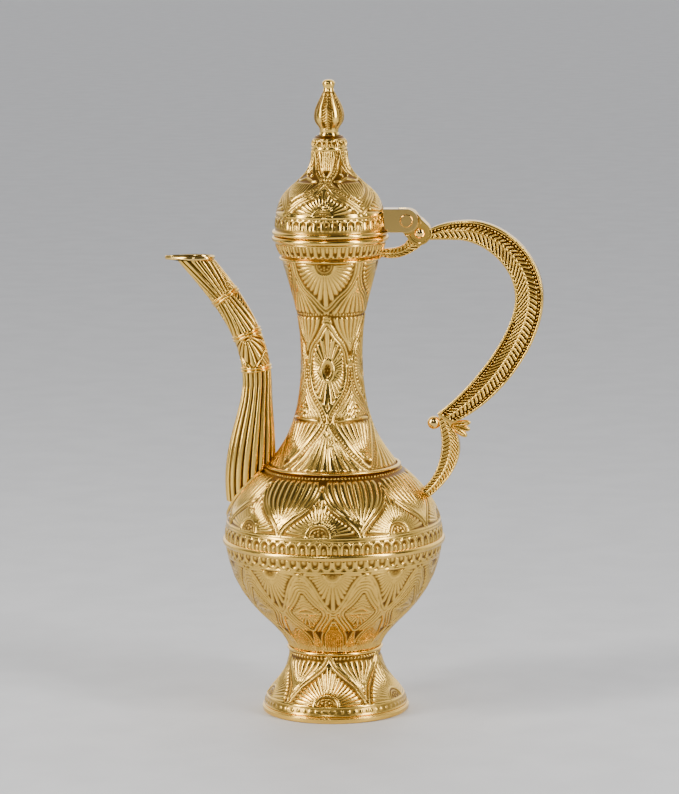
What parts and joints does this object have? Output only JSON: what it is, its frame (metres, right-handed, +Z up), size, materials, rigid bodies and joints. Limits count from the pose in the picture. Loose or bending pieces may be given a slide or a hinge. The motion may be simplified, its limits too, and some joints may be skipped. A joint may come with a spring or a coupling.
{
  "type": "lidded ewer",
  "caption": "Tall footed metal ewer with a slender neck, a swan-neck spout, a loop handle and an onion-shaped lid that swings on a side hinge.",
  "frame": {"origin": "on the pot's axis, in the plane the foot stands on", "axes": "+Z up along the pot's axis, -X towards the spout, +X towards the handle, +Y to the side, away from the side the ewer is seen from; the lid is closed"},
  "size_m": [0.1911, 0.1128, 0.32],
  "materials": {
    "embossed_gilt": "embossed and polished",
    "polished_gilt": "polished",
    "plain_brass": "satin"
  },
  "bodies": {
    "pot": {"foot": "embossed_gilt", "foot_base_ring": "embossed_gilt", "foot_neck_ring": "embossed_gilt", "lower_bowl": "embossed_gilt", "bowl_floor": "plain_brass", "belly_ring": "embossed_gilt", "upper_bowl": "embossed_gilt", "shoulder_ring": "embossed_gilt", "neck": "embossed_gilt", "throat_ring": "embossed_gilt", "collar": "embossed_gilt", "mouth_ring": "embossed_gilt", "spout_near_half": "embossed_gilt", "spout_far_half": "embossed_gilt", "spout_skirt": "embossed_gilt", "spout_lip": "polished_gilt", "spout_ring_upper": "embossed_gilt", "spout_ring_middle": "embossed_gilt", "spout_ring_lower": "embossed_gilt", "handle_loop": "embossed_gilt", "handle_lower_arm": "embossed_gilt", "handle_leaf": "embossed_gilt", "handle_ball_screw": "polished_gilt", "hinge_knuckle": "embossed_gilt", "neck_strut": "embossed_gilt", "knuckle_rivet": "polished_gilt", "hinge_pin": "polished_gilt"},
    "lid": {"lid_dome": "embossed_gilt", "lid_rim_ring": "embossed_gilt", "lid_sleeve": "plain_brass", "lid_bracket": "polished_gilt", "finial": "embossed_gilt", "finial_stud": "plain_brass", "finial_washer": "plain_brass", "finial_nut": "plain_brass"}
  },
  "joints": [
    {"name": "lid_hinge", "type": "hinge", "parent": "pot", "child": "lid", "pos_m": [0.0389, 0, 0.2497], "axis": [0, 1, 0], "range_deg": [0, 110]}
  ]
}
